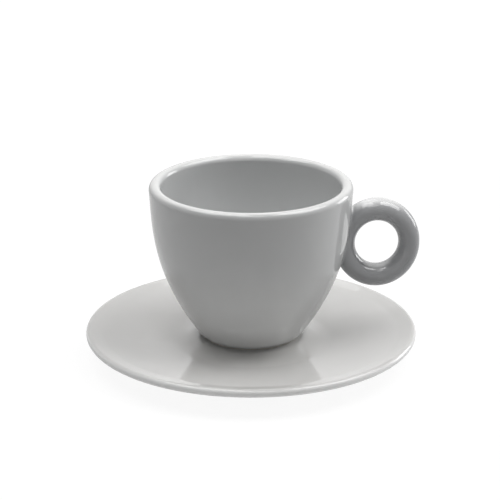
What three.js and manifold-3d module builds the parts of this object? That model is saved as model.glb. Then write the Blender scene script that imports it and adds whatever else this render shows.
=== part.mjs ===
// A thick-walled coffee cup with a ring handle, standing on the low seat of its saucer.
// Millimetres, +Z up. The origin is on the axis of cup and saucer, at the surface that the saucer stands on.
// The handle points along +X.

import * as THREE from 'three';
import { mergeVertices } from 'three/addons/utils/BufferGeometryUtils.js';
import Module from 'manifold-3d';

// Saucer
const saucerDiameter = 148;
const saucerEdgeThickness = 3.8;
const saucerHeight = 13.4;
const saucerThickness = 4.1;
const saucerTroughDiameter = 65;
const saucerTroughHeight = 7.6;
const saucerTroughBlend = 6;
const saucerSeatDiameter = 48.6;
const saucerSeatHeight = 10.4;
const saucerSeatBlend = 2.4;
const saucerFootDiameter = 68;
const saucerFootWidth = 4;
const saucerFootRecess = 5;

// Cup
const cupHeight = 70.6;
const cupRimDiameter = 90;
const cupRimThickness = 5.4;
const cupWallThickness = 4.8;
const cupFloorCornerRadius = 5.7;
const cupBaseDiameter = 47.4;
const cupBaseHeight = 2;
const cupFootDiameter = 43;
const cupFootWidth = 4;
const cupFootRecess = 0.8;

// The cup's wall is one curve. It leaves the rim and meets the base at these angles from upright,
// and runs this far along each before it bends away.
const wallLeanAtRim = THREE.MathUtils.degToRad(4.2);
const wallLeanAtBase = THREE.MathUtils.degToRad(36.2);
const wallReachAtRim = 16.3;
const wallReachAtBase = 35.2;

// Handle: an upright ring, set into the wall by its seat depth
const ringWidth = 38.5;
const ringHeight = 40.8;
const ringThickness = 9.5;
const ringDepth = 11.5;
const ringDropFromRim = 8.35;
const ringSeatDepth = 5.5;
const ringJoinFlare = 2;

// Clearances and small roundings
const slipGap = 0.3;
const saucerFootRounding = 0.8;
const cupFootRounding = 0.35;

// Facets
const turnSegments = 48;
const ringSegments = 64;
const ringSectionSegments = 20;
const wallSteps = 14;
const edgeSteps = 10;
const cornerSteps = 5;
const smallSteps = 3;

// Levels that follow from the sizes
const cupRimLevel = saucerSeatHeight + cupHeight;
const cupBaseLevel = saucerSeatHeight + cupBaseHeight;
const cupRecessLevel = saucerSeatHeight + cupFootRecess;
const cupFloorLevel = cupRecessLevel + cupWallThickness;

function point(radius, height) {
  return new THREE.Vector2(radius, height);
}

// Steps along a wall that leans out from upright, and square to it away from the axis.
function upwards(lean, length) {
  return point(length * Math.sin(lean), length * Math.cos(lean));
}

function outwards(lean, length) {
  return point(length * Math.cos(lean), -length * Math.sin(lean));
}

// Points of a round stretch in a turned outline, between two directions from its centre.
function arc(centre, radius, from, to, steps) {
  const clockwise = to < from;
  return new THREE.EllipseCurve(centre.x, centre.y, radius, radius, from, to, clockwise).getPoints(steps);
}

// Points beside a curve, at a distance to the right of its direction of travel.
function beside(curve, distance, steps) {
  const points = [];
  for (let step = 0; step <= steps; step += 1) {
    const along = curve.getTangent(step / steps);
    points.push(curve.getPoint(step / steps).add(point(along.y, -along.x).multiplyScalar(distance)));
  }
  return points;
}

// A solid of revolution about Z, from an outline that runs anticlockwise in radius and height.
function turn(outline) {
  return new THREE.LatheGeometry(outline, turnSegments).rotateX(Math.PI / 2);
}

// Outline of a foot ring, from the recess inside it, down and out over its flat land.
function footRing(radius, width, floor, recessLevel, round) {
  const inner = radius - width;
  return [
    ...arc(point(inner - round, recessLevel - round), round, Math.PI / 2, 0, smallSteps),
    ...arc(point(inner + round, floor + round), round, Math.PI, 1.5 * Math.PI, smallSteps),
    ...arc(point(radius - round, floor + round), round, -Math.PI / 2, 0, smallSteps),
  ];
}

// Saucer: low raised seat, soft trough, straight flank that runs up to a full-round edge, foot ring below.
function saucerGeometry() {
  const edgeRadius = saucerEdgeThickness / 2;
  const edge = point(saucerDiameter / 2 - edgeRadius, saucerHeight - edgeRadius);
  const trough = point(saucerTroughDiameter / 2, saucerTroughHeight);
  const toEdge = edge.clone().sub(trough);
  const flankAngle = toEdge.angle() + Math.asin(edgeRadius / toEdge.length());
  const flank = point(Math.cos(flankAngle), Math.sin(flankAngle));
  const seat = point(saucerSeatDiameter / 2, saucerSeatHeight);
  const slope = seat.clone().sub(trough).normalize();
  const troughBlend = new THREE.QuadraticBezierCurve(
    trough.clone().addScaledVector(flank, saucerTroughBlend / 2),
    trough,
    trough.clone().addScaledVector(slope, saucerTroughBlend / 2),
  );
  const seatBlend = new THREE.QuadraticBezierCurve(
    seat.clone().addScaledVector(slope, -saucerSeatBlend / 2),
    seat,
    point(seat.x - saucerSeatBlend / 2, saucerSeatHeight),
  );

  const footRadius = saucerFootDiameter / 2;
  const flankAtFoot = saucerTroughHeight + Math.max(0, footRadius - trough.x) * Math.tan(flankAngle);
  const undersideAtFoot = flankAtFoot - saucerThickness;
  const fillet = saucerFootRounding;
  const undersideStart = point(footRadius + fillet, undersideAtFoot);
  const undersideAngle = point(edge.x, edge.y - edgeRadius).sub(undersideStart).angle();

  return turn([
    point(0, saucerFootRecess),
    ...footRing(footRadius, saucerFootWidth, 0, saucerFootRecess, saucerFootRounding),
    ...arc(point(undersideStart.x, undersideAtFoot - fillet), fillet, Math.PI, Math.PI / 2, smallSteps),
    ...arc(edge, edgeRadius, undersideAngle - Math.PI / 2, flankAngle + Math.PI / 2, edgeSteps),
    ...troughBlend.getPoints(cornerSteps),
    ...seatBlend.getPoints(smallSteps),
    point(0, saucerSeatHeight),
  ]);
}

// Outer face of the cup's wall, from the edge of its base up to the rim.
const rimRadius = cupRimThickness / 2;
const rimCentre = point(cupRimDiameter / 2 - rimRadius, cupRimLevel - rimRadius);
const wallTop = outwards(wallLeanAtRim, rimRadius).add(rimCentre);
const wallFoot = point(cupBaseDiameter / 2, cupBaseLevel);
const wall = new THREE.CubicBezierCurve(
  wallFoot,
  wallFoot.clone().add(upwards(wallLeanAtBase, wallReachAtBase)),
  wallTop.clone().sub(upwards(wallLeanAtRim, wallReachAtRim)),
  wallTop,
);

// Radius of the wall's outer face at a height, read off the curve by halving its run.
function wallRadiusAt(height) {
  const halvings = 40;
  let low = 0;
  let high = 1;
  for (let pass = 0; pass < halvings; pass += 1) {
    const middle = (low + high) / 2;
    if (wall.getPoint(middle).y < height) {
      low = middle;
    } else {
      high = middle;
    }
  }
  return wall.getPoint(low).x;
}

// Cup body: foot ring set back under the base, curved wall of even thickness, full-round rim, rounded floor corner.
function cupBodyGeometry() {
  const footRadius = cupFootDiameter / 2;
  const fillet = cupFootRounding;
  const inside = beside(wall, -cupWallThickness, wallSteps).reverse();
  const floorCorner = outwards(wallLeanAtBase, -cupWallThickness - cupFloorCornerRadius).add(wallFoot);
  const rise = cupFloorLevel + cupFloorCornerRadius - floorCorner.y;
  floorCorner.add(upwards(wallLeanAtBase, rise / Math.cos(wallLeanAtBase)));
  return turn([
    point(0, cupRecessLevel),
    ...footRing(footRadius, cupFootWidth, saucerSeatHeight, cupRecessLevel, cupFootRounding),
    ...arc(point(footRadius + fillet, cupBaseLevel - fillet), fillet, Math.PI, Math.PI / 2, smallSteps),
    ...wall.getPoints(wallSteps),
    ...arc(rimCentre, rimRadius, -wallLeanAtRim, Math.PI - wallLeanAtRim, edgeSteps).slice(1),
    ...inside.slice(1, -1),
    ...arc(floorCorner, cupFloorCornerRadius, -wallLeanAtBase, -Math.PI / 2, cornerSteps),
    point(0, cupFloorLevel),
  ]);
}

// A closed mesh as a solid for cutting, and a cut solid back as a mesh.
const wasm = await Module();
wasm.setup();

function solid(geometry) {
  const bare = geometry.clone();
  bare.deleteAttribute('normal');
  bare.deleteAttribute('uv');
  const merged = mergeVertices(bare);
  const vertProperties = new Float32Array(merged.getAttribute('position').array);
  const triVerts = new Uint32Array(merged.getIndex().array);
  return new wasm.Manifold(new wasm.Mesh({ numProp: 3, vertProperties, triVerts }));
}

function mesh(cutSolid) {
  const { vertProperties, triVerts } = cutSolid.getMesh();
  const geometry = new THREE.BufferGeometry();
  geometry.setAttribute('position', new THREE.BufferAttribute(vertProperties, 3));
  geometry.setIndex(new THREE.BufferAttribute(triVerts, 1));
  geometry.computeVertexNormals();
  return geometry;
}

// Handle: an upright ring that flares where it meets the wall, scooped out to the wall's own curve.
function handleGeometry() {
  const centreLevel = cupRimLevel - ringDropFromRim - ringHeight / 2;
  const centreReach = wallRadiusAt(centreLevel) - ringSeatDepth + ringWidth / 2;
  const lineRadius = (ringWidth - ringThickness) / 2;
  const upright = ringHeight / ringWidth;
  const ring = new THREE.TorusGeometry(lineRadius, ringThickness / 2, ringSectionSegments, ringSegments)
    .scale(1, upright, ringDepth / ringThickness)
    .rotateX(Math.PI / 2)
    .translate(centreReach, 0, centreLevel);

  // Near the wall the section swells like a fillet: by the whole flare at the wall, by nothing a flare away.
  const place = ring.getAttribute('position');
  const centre = new THREE.Vector3(centreReach, 0, centreLevel);
  const spot = new THREE.Vector3();
  const line = new THREE.Vector3();
  for (let index = 0; index < place.count; index += 1) {
    spot.fromBufferAttribute(place, index);
    const turned = Math.atan2((spot.z - centreLevel) / upright, spot.x - centreReach);
    line.set(Math.cos(turned), 0, upright * Math.sin(turned)).multiplyScalar(lineRadius).add(centre);
    const outside = Math.hypot(spot.x, spot.y) - wallRadiusAt(spot.z);
    const nearness = THREE.MathUtils.clamp(1 - outside / ringJoinFlare, 0, 1);
    spot.sub(line);
    spot.setLength(spot.length() + ringJoinFlare * nearness ** 2).add(line);
    place.setXYZ(index, spot.x, spot.y, spot.z);
  }

  const seat = [...beside(wall, slipGap, wallSteps), point(wallFoot.x, cupRimLevel)];
  return mesh(solid(ring).subtract(solid(turn([...seat, seat[0].clone()]))));
}

// Glazed porcelain, a slightly warm white on the saucer and cooler on the cup.
function glaze(colour) {
  return new THREE.MeshStandardMaterial({ color: colour, roughness: 0.12, metalness: 0 });
}

function piece(name, geometry, material) {
  const made = new THREE.Mesh(geometry, material);
  made.name = name;
  return made;
}

const cup = new THREE.Group();
cup.add(piece('cup_body', cupBodyGeometry(), glaze('#e6e6e3')));
cup.add(piece('handle', handleGeometry(), glaze('#e6e6e3')));

const cupWithSaucer = new THREE.Group();
cupWithSaucer.add(piece('saucer', saucerGeometry(), glaze('#e8e7e3')));
cupWithSaucer.add(cup);

export default cupWithSaucer;
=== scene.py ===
import math

import bmesh
import bpy
from mathutils import Matrix, Vector, geometry


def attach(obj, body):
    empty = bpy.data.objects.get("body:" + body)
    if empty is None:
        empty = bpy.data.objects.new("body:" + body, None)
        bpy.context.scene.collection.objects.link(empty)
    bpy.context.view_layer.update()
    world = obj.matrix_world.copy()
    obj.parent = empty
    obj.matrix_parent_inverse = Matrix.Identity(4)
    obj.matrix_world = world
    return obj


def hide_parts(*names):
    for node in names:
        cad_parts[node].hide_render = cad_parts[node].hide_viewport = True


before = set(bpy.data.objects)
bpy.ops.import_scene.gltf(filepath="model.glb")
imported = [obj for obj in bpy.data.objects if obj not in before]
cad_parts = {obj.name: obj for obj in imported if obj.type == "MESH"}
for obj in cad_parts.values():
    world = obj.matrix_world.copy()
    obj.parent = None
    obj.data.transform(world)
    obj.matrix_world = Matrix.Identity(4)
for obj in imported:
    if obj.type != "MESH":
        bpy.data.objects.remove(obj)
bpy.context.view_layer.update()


# Saucer: a shallow dish of white porcelain, pressed in one piece with its foot ring and glazed.
# It is fired standing on that ring, so the ring's land is wiped clean first and stays bare.
# A low seat takes the cup. Past a soft trough the flank runs up, steeper at the round edge.
MM = 0.001
SAUCER_RADIUS = 74.0 * MM
SAUCER_EDGE_TOP = 13.95 * MM
SAUCER_EDGE_BOTTOM = 10.2 * MM
SAUCER_EDGE_ROUND = 1.8 * MM
SAUCER_LIP_RADIUS = 66.5 * MM
SAUCER_LIP_LEVEL = 12.2 * MM
SAUCER_LIP_ROUND = 20.0 * MM
SAUCER_TROUGH_RADIUS = 32.5 * MM
SAUCER_TROUGH_LEVEL = 7.6 * MM
SAUCER_TROUGH_ROUND = 17.0 * MM
SAUCER_SEAT_RADIUS = 24.3 * MM
SAUCER_SEAT_LEVEL = 10.4 * MM
SAUCER_SEAT_ROUND = 7.0 * MM
SAUCER_FOOT_OUTER = 34.0 * MM
SAUCER_FOOT_INNER = 30.0 * MM
SAUCER_FOOT_ROUND = 0.8 * MM
SAUCER_RECESS = 5.0 * MM
SAUCER_UNDERSIDE = 3.7 * MM
TURN_STEPS = 192
ROUNDING_STEPS = 10
LONGEST_RUN = 1.2 * MM
SAME_SPOT = 0.001 * MM


def turned_piece(name, corners):
    """A body of revolution about Z. A corner is (radius, height, rounding), from axis to axis."""
    mesh = bmesh.new()
    places = [Vector((radius, 0.0, height)) for radius, height, rounding in corners]
    roundings = [rounding for radius, height, rounding in corners]
    wire = [mesh.verts.new(place) for place in places]
    for first, second in zip(wire, wire[1:]):
        mesh.edges.new((first, second))
    for index, rounding in enumerate(roundings):
        if rounding:
            back = places[index - 1] - places[index]
            onward = places[index + 1] - places[index]
            run = rounding / math.tan(back.angle(onward) / 2)
            bmesh.ops.bevel(
                mesh, geom=[wire[index]], offset=run, offset_type="OFFSET",
                segments=ROUNDING_STEPS, profile=0.5, affect="VERTICES", material=-1)
    for edge in list(mesh.edges):
        cuts = int(edge.calc_length() / LONGEST_RUN)
        if cuts:
            bmesh.ops.subdivide_edges(mesh, edges=[edge], cuts=cuts)
    bmesh.ops.spin(
        mesh, geom=mesh.verts[:] + mesh.edges[:], cent=(0, 0, 0), axis=(0, 0, 1),
        angle=2 * math.pi, steps=TURN_STEPS, use_merge=True)
    return finished_piece(name, mesh)


def finished_piece(name, mesh):
    """Merges doubles, turns faces outwards, shades them smooth, makes the object at the origin."""
    bmesh.ops.remove_doubles(mesh, verts=mesh.verts[:], dist=SAME_SPOT)
    bmesh.ops.recalc_face_normals(mesh, faces=mesh.faces[:])
    for face in mesh.faces:
        face.smooth = True
    data = bpy.data.meshes.new(name)
    mesh.to_mesh(data)
    mesh.free()
    piece = bpy.data.objects.new(name, data)
    bpy.context.scene.collection.objects.link(piece)
    return piece


saucer = turned_piece("saucer_dish", [
    (0.0, SAUCER_RECESS, 0.0),
    (SAUCER_FOOT_INNER, SAUCER_RECESS, SAUCER_FOOT_ROUND),
    (SAUCER_FOOT_INNER, 0.0, SAUCER_FOOT_ROUND),
    (SAUCER_FOOT_OUTER, 0.0, SAUCER_FOOT_ROUND),
    (SAUCER_FOOT_OUTER, SAUCER_UNDERSIDE, SAUCER_FOOT_ROUND),
    (SAUCER_RADIUS, SAUCER_EDGE_BOTTOM, SAUCER_EDGE_ROUND),
    (SAUCER_RADIUS, SAUCER_EDGE_TOP, SAUCER_EDGE_ROUND),
    (SAUCER_LIP_RADIUS, SAUCER_LIP_LEVEL, SAUCER_LIP_ROUND),
    (SAUCER_TROUGH_RADIUS, SAUCER_TROUGH_LEVEL, SAUCER_TROUGH_ROUND),
    (SAUCER_SEAT_RADIUS, SAUCER_SEAT_LEVEL, SAUCER_SEAT_ROUND),
    (0.0, SAUCER_SEAT_LEVEL, 0.0),
])


def linear(code):
    """A colour written as sRGB hex, such as "e6e6e3", as linear red, green, blue and alpha."""
    parts = [int(code[start:start + 2], 16) / 255 for start in (0, 2, 4)]
    return [c / 12.92 if c <= 0.04045 else ((c + 0.055) / 1.055) ** 2.4 for c in parts] + [1.0]


def add_node(tree, kind, settings=None, links=None):
    """Adds a node, sets its properties or its sockets by name or number, and links its inputs."""
    node = tree.nodes.new(kind)
    for key, value in (settings or {}).items():
        if isinstance(key, str) and hasattr(node, key):
            setattr(node, key, value)
        else:
            node.inputs[key].default_value = value
    for key, socket in (links or {}).items():
        tree.links.new(socket, node.inputs[key])
    return node


# Sizes and shares of the glaze's patterns. The clay's grain is drawn coarser than it is, to show.
GLAZE_POOLS = 28.0 * MM
GLAZE_SMEARS = 9.0 * MM
GLAZE_RIPPLES = 5.0 * MM
RIPPLE_HEIGHT = 0.05 * MM
CLAY_GRAIN = 0.6 * MM
WIPED_UP_TO = 0.15 * MM
GLAZED_FROM = 0.45 * MM
# The level tone's rise and tilt set where the painted light and shade between upright and level
# faces changes.
LEVEL_TONE_RISE = 5.0 * MM
LEVEL_TONE_TILT = 0.55
POOL_TONE_SHARE = 0.1
GLAZE_IOR = 1.6
GLAZE_ROUGHNESS = (0.02, 0.05)
CLAY_ROUGHNESS = 0.65
CLAY_TONES = ("d9d2c4", "e6e0d4")


def glazed_porcelain(name, upright, level, level_from, bare_level):
    """White glaze on porcelain. The eye sees a hard clear gloss over a soft, not quite even white.
    Upright faces and those that lie level, from level_from up, have two tones. They are matched
    to the photo and hold some of its light and shade, which a single white glaze wouldn't have.
    Up to bare_level the clay is bare: matt, dry and creamier."""
    material = bpy.data.materials.new(name)
    material.use_nodes = True
    tree = material.node_tree
    tree.nodes.clear()
    coordinates = add_node(tree, "ShaderNodeTexCoord")
    place = coordinates.outputs["Object"]
    normal = coordinates.outputs["Normal"]
    height = add_node(tree, "ShaderNodeSeparateXYZ", links={0: place}).outputs["Z"]
    facing = add_node(tree, "ShaderNodeSeparateXYZ", links={0: normal}).outputs["Z"]
    bare = add_node(tree, "ShaderNodeMapRange", {
        "interpolation_type": "SMOOTHSTEP",
        "From Min": bare_level + GLAZED_FROM, "From Max": bare_level + WIPED_UP_TO,
    }, {"Value": height}).outputs["Result"]
    lying = add_node(tree, "ShaderNodeMapRange", {
        "interpolation_type": "SMOOTHSTEP", "From Min": LEVEL_TONE_TILT, "From Max": 1.0,
    }, {"Value": facing})
    raised = add_node(tree, "ShaderNodeMapRange", {
        "interpolation_type": "SMOOTHSTEP",
        "From Min": level_from, "From Max": level_from + LEVEL_TONE_RISE,
    }, {"Value": height})
    pools = add_node(tree, "ShaderNodeTexNoise", {
        "Scale": 1 / GLAZE_POOLS, "Detail": 3.0}, {"Vector": place})
    uneven = add_node(tree, "ShaderNodeMapRange", {
        "From Min": 0.35, "From Max": 0.65, "To Min": -POOL_TONE_SHARE, "To Max": POOL_TONE_SHARE,
    }, {"Value": pools.outputs["Fac"]})
    # Painted light and shade: level faces, from level_from up, lean to the level tone and the rest
    # keep the upright one. The pools add tone that differs at random.
    painted_light_and_pools = add_node(tree, "ShaderNodeMath", {"operation": "MULTIPLY_ADD", "use_clamp": True}, {
        0: lying.outputs["Result"], 1: raised.outputs["Result"], 2: uneven.outputs["Result"]})
    glaze = add_node(tree, "ShaderNodeMix", {
        "data_type": "RGBA", 6: linear(upright), 7: linear(level)}, {0: painted_light_and_pools.outputs[0]})
    grain = add_node(tree, "ShaderNodeTexNoise", {
        "Scale": 1 / CLAY_GRAIN, "Detail": 2.0}, {"Vector": place})
    clay = add_node(tree, "ShaderNodeMix", {
        "data_type": "RGBA", 6: linear(CLAY_TONES[0]), 7: linear(CLAY_TONES[1]),
    }, {0: grain.outputs["Fac"]})
    colour = add_node(tree, "ShaderNodeMix", {"data_type": "RGBA"}, {
        0: bare, 6: glaze.outputs[2], 7: clay.outputs[2]}).outputs[2]
    smears = add_node(tree, "ShaderNodeTexNoise", {
        "Scale": 1 / GLAZE_SMEARS, "Detail": 4.0}, {"Vector": place})
    gloss = add_node(tree, "ShaderNodeMapRange", {
        "From Min": 0.3, "From Max": 0.7,
        "To Min": GLAZE_ROUGHNESS[0], "To Max": GLAZE_ROUGHNESS[1],
    }, {"Value": smears.outputs["Fac"]})
    rough = add_node(tree, "ShaderNodeMix", {"data_type": "FLOAT", 3: CLAY_ROUGHNESS}, {
        0: bare, 2: gloss.outputs["Result"]}).outputs[0]
    ripples = add_node(tree, "ShaderNodeTexNoise", {
        "Scale": 1 / GLAZE_RIPPLES, "Detail": 1.0}, {"Vector": place})
    skin = add_node(tree, "ShaderNodeBump", {"Strength": 0.25, "Distance": RIPPLE_HEIGHT}, {
        "Height": ripples.outputs["Fac"]}).outputs["Normal"]
    surface = add_node(tree, "ShaderNodeBsdfPrincipled", {"IOR": GLAZE_IOR}, {
        "Base Color": colour, "Roughness": rough, "Normal": skin})
    add_node(tree, "ShaderNodeOutputMaterial", links={"Surface": surface.outputs["BSDF"]})
    return material


# The saucer's faces that don't face up, above all its round edge, are painted lighter than its
# level top: a painted highlight.
saucer.data.materials.append(glazed_porcelain(
    "saucer_glaze", upright="f8f8f7", level="dbdad8", level_from=0.0, bare_level=0.0))
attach(saucer, "saucer")
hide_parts("saucer")


# Cup body: a thick bowl of the same porcelain, formed in a turning mould, glazed inside and out.
# Its wall is nearly upright at the full-round rim and curves in to the crisp edge of its base.
# It stands loose on the saucer's seat, on a foot ring set back under that edge with a bare land.
CUP_TOP = 81.0 * MM
CUP_FOOT_OUTER = 21.5 * MM
CUP_FOOT_INNER = 17.5 * MM
CUP_FOOT_ROUND = 0.35 * MM
CUP_RECESS = 11.2 * MM
CUP_BASE_RADIUS = 23.7 * MM
CUP_BASE_LEVEL = 12.4 * MM
CUP_BASE_ROUND = 0.45 * MM
CUP_FLOOR = 16.0 * MM
CUP_FLOOR_ROUND = 5.7 * MM
CUP_FLOOR_FLAT = 17.0 * MM
CUP_RIM_ROUND = 2.7 * MM
CUP_RIM_MIDDLE = 42.3 * MM
# From this height the cup's level faces take the lighter tone, a painted highlight on the rim.
CUP_RIM_TONE_FROM = 74.0 * MM
RIM_LEAN = math.radians(4.2)
OUTER_LEAN = math.radians(36.2)
INNER_LEAN = math.radians(35.0)
OUTER_REACHES = (35.2 * MM, 16.3 * MM)
INNER_REACHES = (31.0 * MM, 14.0 * MM)
WALL_POINTS = 56


def along(lean, length):
    """A step up a wall that leans out from upright, as radius and height."""
    return Vector((math.sin(lean), math.cos(lean))) * length


def square_to(lean, length):
    """A step out from such a wall, square to it."""
    return Vector((math.cos(lean), -math.sin(lean))) * length


def wall_face(low, base_lean, side, reaches):
    """One face of the wall from a low point up to the rim, outer for side 1, inner for side -1."""
    rim_centre = Vector((CUP_RIM_MIDDLE, CUP_TOP - CUP_RIM_ROUND))
    high = rim_centre + square_to(RIM_LEAN, side * CUP_RIM_ROUND)
    low_pull = low + along(base_lean, reaches[0])
    high_pull = high - along(RIM_LEAN, reaches[1])
    return geometry.interpolate_bezier(low, low_pull, high_pull, high, WALL_POINTS)


def level_corner(point, lean, level):
    """Where the line through a point of the wall, at its lean from upright, meets a level."""
    return point.x + (level - point.y) * math.tan(lean)


base_edge = Vector((CUP_BASE_RADIUS, CUP_BASE_LEVEL))
floor_centre = Vector((CUP_FLOOR_FLAT, CUP_FLOOR + CUP_FLOOR_ROUND))
floor_edge = floor_centre + square_to(INNER_LEAN, CUP_FLOOR_ROUND)
outer_wall = wall_face(base_edge, OUTER_LEAN, 1, OUTER_REACHES)
inner_wall = wall_face(floor_edge, INNER_LEAN, -1, INNER_REACHES)
cup_body = turned_piece("cup_bowl", [
    (0.0, CUP_RECESS, 0.0),
    (CUP_FOOT_INNER, CUP_RECESS, CUP_FOOT_ROUND),
    (CUP_FOOT_INNER, SAUCER_SEAT_LEVEL, CUP_FOOT_ROUND),
    (CUP_FOOT_OUTER, SAUCER_SEAT_LEVEL, CUP_FOOT_ROUND),
    (CUP_FOOT_OUTER, CUP_BASE_LEVEL, CUP_FOOT_ROUND),
    (CUP_BASE_RADIUS, CUP_BASE_LEVEL, CUP_BASE_ROUND),
    *[(point.x, point.y, 0.0) for point in outer_wall[1:]],
    (level_corner(outer_wall[-1], RIM_LEAN, CUP_TOP), CUP_TOP, CUP_RIM_ROUND),
    (level_corner(inner_wall[-1], RIM_LEAN, CUP_TOP), CUP_TOP, CUP_RIM_ROUND),
    *[(point.x, point.y, 0.0) for point in reversed(inner_wall)],
    (level_corner(inner_wall[0], INNER_LEAN, CUP_FLOOR), CUP_FLOOR, CUP_FLOOR_ROUND),
    (0.0, CUP_FLOOR, 0.0),
])
# Above CUP_RIM_TONE_FROM the cup's level faces, its rim, are painted lighter: a painted highlight.
# Below that the bowl keeps its upright tone.
cup_body.data.materials.append(glazed_porcelain(
    "cup_glaze", upright="d1d2d2", level="e9e9e8",
    level_from=CUP_RIM_TONE_FROM, bare_level=SAUCER_SEAT_LEVEL))
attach(cup_body, "cup")
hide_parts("cup_body")


# Handle: an upright ring of oval section, cast by itself and luted to the leather-hard wall.
# Its inner side is scooped to the wall's curve, and slip and glaze leave a soft fillet at the seat.
RING_WIDTH = 38.5 * MM
RING_HEIGHT = 40.8 * MM
RING_THICKNESS = 9.5 * MM
RING_DEPTH = 11.5 * MM
RING_DROP = 8.35 * MM
RING_SEAT = 5.5 * MM
FILLET_REACH = 1.2 * MM
SEAT_SINK = 1.5 * MM
RING_STEPS = 256
SECTION_STEPS = 96
HALVINGS = 24

ring_line = (RING_WIDTH - RING_THICKNESS) / 2
ring_upright = RING_HEIGHT / RING_WIDTH
ring_level = CUP_TOP - RING_DROP - RING_HEIGHT / 2


def wall_radius(level):
    """Radius of the cup's outer face at a level, between the two nearest points of its curve."""
    for below, above in zip(outer_wall, outer_wall[1:]):
        if level <= above.y:
            break
    return below.x + (above.x - below.x) * (level - below.y) / (above.y - below.y)


ring_reach = wall_radius(ring_level) - RING_SEAT + RING_WIDTH / 2
ring_centre = Vector((ring_reach, 0.0, ring_level))


def off_wall(spot):
    """How far a point lies outside the cup's outer face, less than 0 inside it."""
    return math.hypot(spot.x, spot.y) - wall_radius(spot.z)


def filleted(spot):
    """Moves a point of the bare ring out to the fillet that joins ring and wall, where the two
    distances blend, or leaves it where it is. Inside the wall it stays near the wall's face."""
    if off_wall(spot) > FILLET_REACH:
        return spot
    turned = math.atan2((spot.z - ring_level) / ring_upright, spot.x - ring_reach)
    towards = Vector((math.cos(turned), 0.0, ring_upright * math.sin(turned)))
    middle = ring_centre + ring_line * towards
    ray = spot - middle
    bare = ray.length
    ray.normalize()
    low, high = bare, bare + FILLET_REACH
    for halving in range(HALVINGS):
        trial = (low + high) / 2
        ring_gap = trial - bare
        wall_gap = off_wall(middle + trial * ray)
        blend = max(FILLET_REACH - abs(ring_gap - wall_gap), 0.0)
        if min(ring_gap, wall_gap) < blend ** 2 / (4 * FILLET_REACH):
            low = trial
        else:
            high = trial
    moved = middle + (low if low > bare + SAME_SPOT else bare) * ray
    sunk = -SEAT_SINK - off_wall(moved)
    if sunk > 0:
        moved += sunk * Vector((moved.x, moved.y, 0.0)).normalized()
    return moved


ring_mesh = bmesh.new()
section_oval = Matrix.Diagonal((1, RING_DEPTH / RING_THICKNESS, 1, 1))
section_place = Matrix.Translation((ring_line, 0, 0)) @ section_oval
bmesh.ops.create_circle(
    ring_mesh, radius=RING_THICKNESS / 2, segments=SECTION_STEPS, matrix=section_place)
bmesh.ops.spin(
    ring_mesh, geom=ring_mesh.verts[:] + ring_mesh.edges[:], cent=(0, 0, 0), axis=(0, 1, 0),
    angle=2 * math.pi, steps=RING_STEPS, use_merge=True)
bmesh.ops.scale(ring_mesh, vec=(1, 1, ring_upright), verts=ring_mesh.verts[:])
bmesh.ops.translate(ring_mesh, vec=ring_centre, verts=ring_mesh.verts[:])
for vert in ring_mesh.verts:
    vert.co = filleted(vert.co)
handle = finished_piece("ring_handle", ring_mesh)
# The handle's upright sides are painted a darker grey than the bowl, which is painted shade, and
# its level faces lighter, which is painted light.
handle.data.materials.append(glazed_porcelain(
    "handle_glaze", upright="a1a2a4", level="e4e4e4", level_from=0.0, bare_level=0.0))
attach(handle, "cup")
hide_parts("handle")


# Floor: a plain white sheet that the saucer stands on. The camera sees it glow almost white, the
# more so further out, and reflections see a weaker glow. The rest of its tone comes from the
# lamps, so it keeps the shadow.
FLOOR_REACH = 3.0
FLOOR_FRONT = 0.25
FLOOR_GLOW = 0.85
MIRRORED_GLOW = 0.25
GLOW_NEAR = (0.2, 1.08)
GLOW_FAR = (0.9, 1.18)

floor_mesh = bmesh.new()
bmesh.ops.create_grid(floor_mesh, x_segments=4, y_segments=4, size=FLOOR_REACH)
bmesh.ops.translate(
    floor_mesh, vec=(0, FLOOR_REACH - FLOOR_FRONT, 0), verts=floor_mesh.verts[:])
floor = finished_piece("floor", floor_mesh)
floor_sheet = bpy.data.materials.new("floor_sheet")
floor_sheet.use_nodes = True
floor_tree = floor_sheet.node_tree
floor_tree.nodes.clear()


def seen(tree, straight, mirrored):
    """A strength for rays that show a thing straight to the eye, another for rays that show it
    mirrored or through glass, and 0 for rays that only light."""
    path = add_node(tree, "ShaderNodeLightPath")
    indirect = add_node(tree, "ShaderNodeMath", {"operation": "MAXIMUM"}, {
        0: path.outputs["Is Glossy Ray"], 1: path.outputs["Is Transmission Ray"]})
    indirect_share = add_node(tree, "ShaderNodeMath", {"operation": "MULTIPLY", 1: mirrored}, {
        0: indirect.outputs[0]})
    return add_node(tree, "ShaderNodeMath", {"operation": "MULTIPLY_ADD", 1: straight}, {
        0: path.outputs["Is Camera Ray"], 2: indirect_share.outputs[0]}).outputs[0]


floor_lit = add_node(floor_tree, "ShaderNodeBsdfDiffuse", {"Color": linear("e7e7e7")})
floor_place = add_node(floor_tree, "ShaderNodeTexCoord").outputs["Object"]
floor_distance = add_node(floor_tree, "ShaderNodeVectorMath", {"operation": "LENGTH"}, {
    0: floor_place})
floor_white = add_node(floor_tree, "ShaderNodeMapRange", {
    "interpolation_type": "SMOOTHSTEP", "From Min": GLOW_NEAR[0], "From Max": GLOW_FAR[0],
    "To Min": GLOW_NEAR[1], "To Max": GLOW_FAR[1],
}, {"Value": floor_distance.outputs["Value"]})
floor_glow = add_node(floor_tree, "ShaderNodeEmission", {"Color": linear("ffffff")}, {
    "Strength": floor_white.outputs["Result"]})
floor_seen = seen(floor_tree, FLOOR_GLOW, MIRRORED_GLOW)
floor_mix = add_node(floor_tree, "ShaderNodeMixShader", links={
    0: floor_seen, 1: floor_lit.outputs[0], 2: floor_glow.outputs[0]})
add_node(floor_tree, "ShaderNodeOutputMaterial", links={"Surface": floor_mix.outputs[0]})
floor.data.materials.append(floor_sheet)


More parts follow.
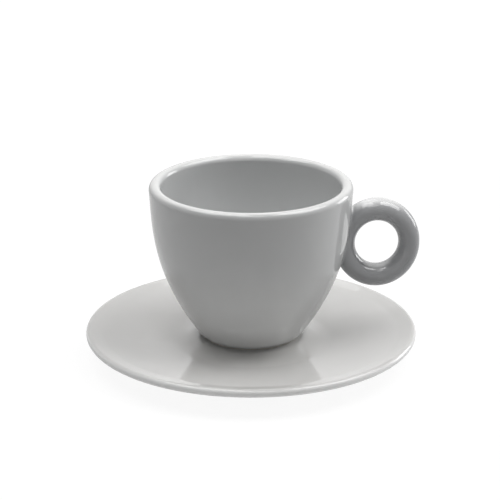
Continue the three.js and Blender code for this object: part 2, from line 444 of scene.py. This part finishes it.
# Light: two large soft boxes high up on the right and left, weak ones at the back and the front,
# and a small low one behind the handle. Each has its place, its width and its power in watts.
# The world gives no light of its own and only looks white.
LAMPS = {
    "key_box": ((0.636, 0.0, 1.058), 0.8, 8.3),
    "left_box": ((-0.391, 0.0, 1.175), 0.8, 6.2),
    "back_box": ((-0.178, 0.665, 1.023), 0.8, 1.7),
    "front_box": ((0.0, -0.488, 1.136), 0.4, 0.95),
    "low_box": ((1.036, 0.551, 0.289), 0.5, 3.0),
}
LAMP_AIM = Vector((0.0, 0.0, 0.04))
WORLD_WHITE = 1.0
WORLD_MIRRORED = 1.0

for lamp_name, (lamp_place, width, power) in LAMPS.items():
    lamp = bpy.data.lights.new(lamp_name, "AREA")
    lamp.size = width
    lamp.energy = power
    stand = bpy.data.objects.new(lamp_name, lamp)
    stand.location = lamp_place
    stand.rotation_euler = (LAMP_AIM - Vector(lamp_place)).to_track_quat("-Z", "Y").to_euler()
    bpy.context.scene.collection.objects.link(stand)

world = bpy.data.worlds.new("studio")
bpy.context.scene.world = world
world.use_nodes = True
world_tree = world.node_tree
world_tree.nodes.clear()
world_white = add_node(world_tree, "ShaderNodeBackground", {"Color": linear("ffffff")}, {
    "Strength": seen(world_tree, WORLD_WHITE, WORLD_MIRRORED)})
add_node(world_tree, "ShaderNodeOutputWorld", links={"Surface": world_white.outputs[0]})


# Camera: a long lens a little to the left of square on to the handle, looking down into the cup.
# It stands off the middle of the saucer and aims a little above it.
VIEW_AZIMUTH = math.radians(-3.5)
VIEW_ELEVATION = math.radians(21.89)
VIEW_DISTANCE = 0.9235
VIEW_ABOUT = Vector((0.0, 0.0, 11.5 * MM))
VIEW_DIP = math.radians(19.67)
VIEW_TURN = math.radians(0.03)
SENSOR_MM = 36.0
LENS_MM = 147.41

camera_data = bpy.data.cameras.new("camera")
camera_data.sensor_width = SENSOR_MM
camera_data.lens = LENS_MM
camera = bpy.data.objects.new("camera", camera_data)
view_across = VIEW_DISTANCE * math.cos(VIEW_ELEVATION)
camera.location = VIEW_ABOUT + Vector((
    view_across * math.sin(VIEW_AZIMUTH),
    -view_across * math.cos(VIEW_AZIMUTH),
    VIEW_DISTANCE * math.sin(VIEW_ELEVATION),
))
camera.rotation_euler = (math.pi / 2 - VIEW_DIP, 0.0, VIEW_AZIMUTH + VIEW_TURN)
bpy.context.scene.collection.objects.link(camera)
bpy.context.scene.camera = camera
bpy.context.scene.view_settings.view_transform = "Standard"
